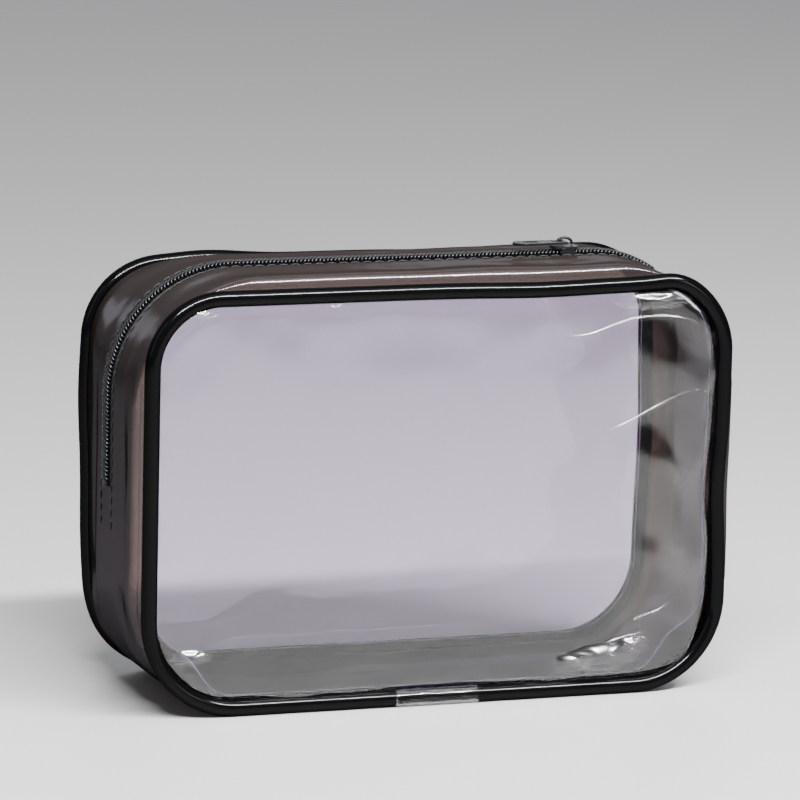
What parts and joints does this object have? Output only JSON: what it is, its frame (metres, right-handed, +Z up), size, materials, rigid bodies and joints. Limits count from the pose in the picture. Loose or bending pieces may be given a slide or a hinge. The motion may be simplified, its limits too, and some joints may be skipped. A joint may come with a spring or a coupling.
{
  "type": "makeup bag",
  "caption": "Clear vinyl makeup bag with rounded corners, smoke-tinted gusset, black piping round both panels and a black coil zipper over the top.",
  "frame": {"origin": "middle of the bag's footprint on the surface it stands on", "axes": "+Z up, -Y towards the front panel, +X to the right seen from the front"},
  "size_m": [0.2532, 0.0926, 0.1799],
  "materials": {
    "clear_vinyl": "clear soft vinyl sheet, very glossy",
    "smoke_vinyl": "smoke-tinted translucent soft vinyl, glossy",
    "black_piping": "black vinyl tube, high gloss",
    "clear_tape": "clear film tape, glossy",
    "zipper_tape": "black woven zipper tape",
    "zipper_coil": "black nylon coil",
    "thread": "black sewing thread",
    "black_metal": "black lacquered zinc"
  },
  "bodies": {
    "bag": {"front_panel": "clear_vinyl", "rear_panel": "clear_vinyl", "gusset": "smoke_vinyl", "front_piping": "black_piping", "rear_piping": "black_piping", "front_piping_joint_tape": "clear_tape", "rear_piping_joint_tape": "clear_tape", "front_seam_thread": "thread", "rear_seam_thread": "thread", "zipper_tape_front": "zipper_tape", "zipper_tape_rear": "zipper_tape", "zipper_coil_front": "zipper_coil", "zipper_coil_rear": "zipper_coil", "zip_thread_front": "thread", "zip_thread_rear": "thread", "bar_tack_left": "thread", "bar_tack_right": "thread"},
    "slider": {"slider_body": "black_metal", "slider_bridge": "black_metal"},
    "pull": {"pull_tab": "black_metal"}
  },
  "joints": [
    {"name": "slider_travel", "type": "slide", "parent": "bag", "child": "slider", "axis": [1, 0, 0], "range_m": [-0.13, 0]},
    {"name": "pull_pivot", "type": "hinge", "parent": "slider", "child": "pull", "pos_m": [0.066, 0, 0.1775], "axis": [0, 1, 0], "range_deg": [0, 180]}
  ]
}
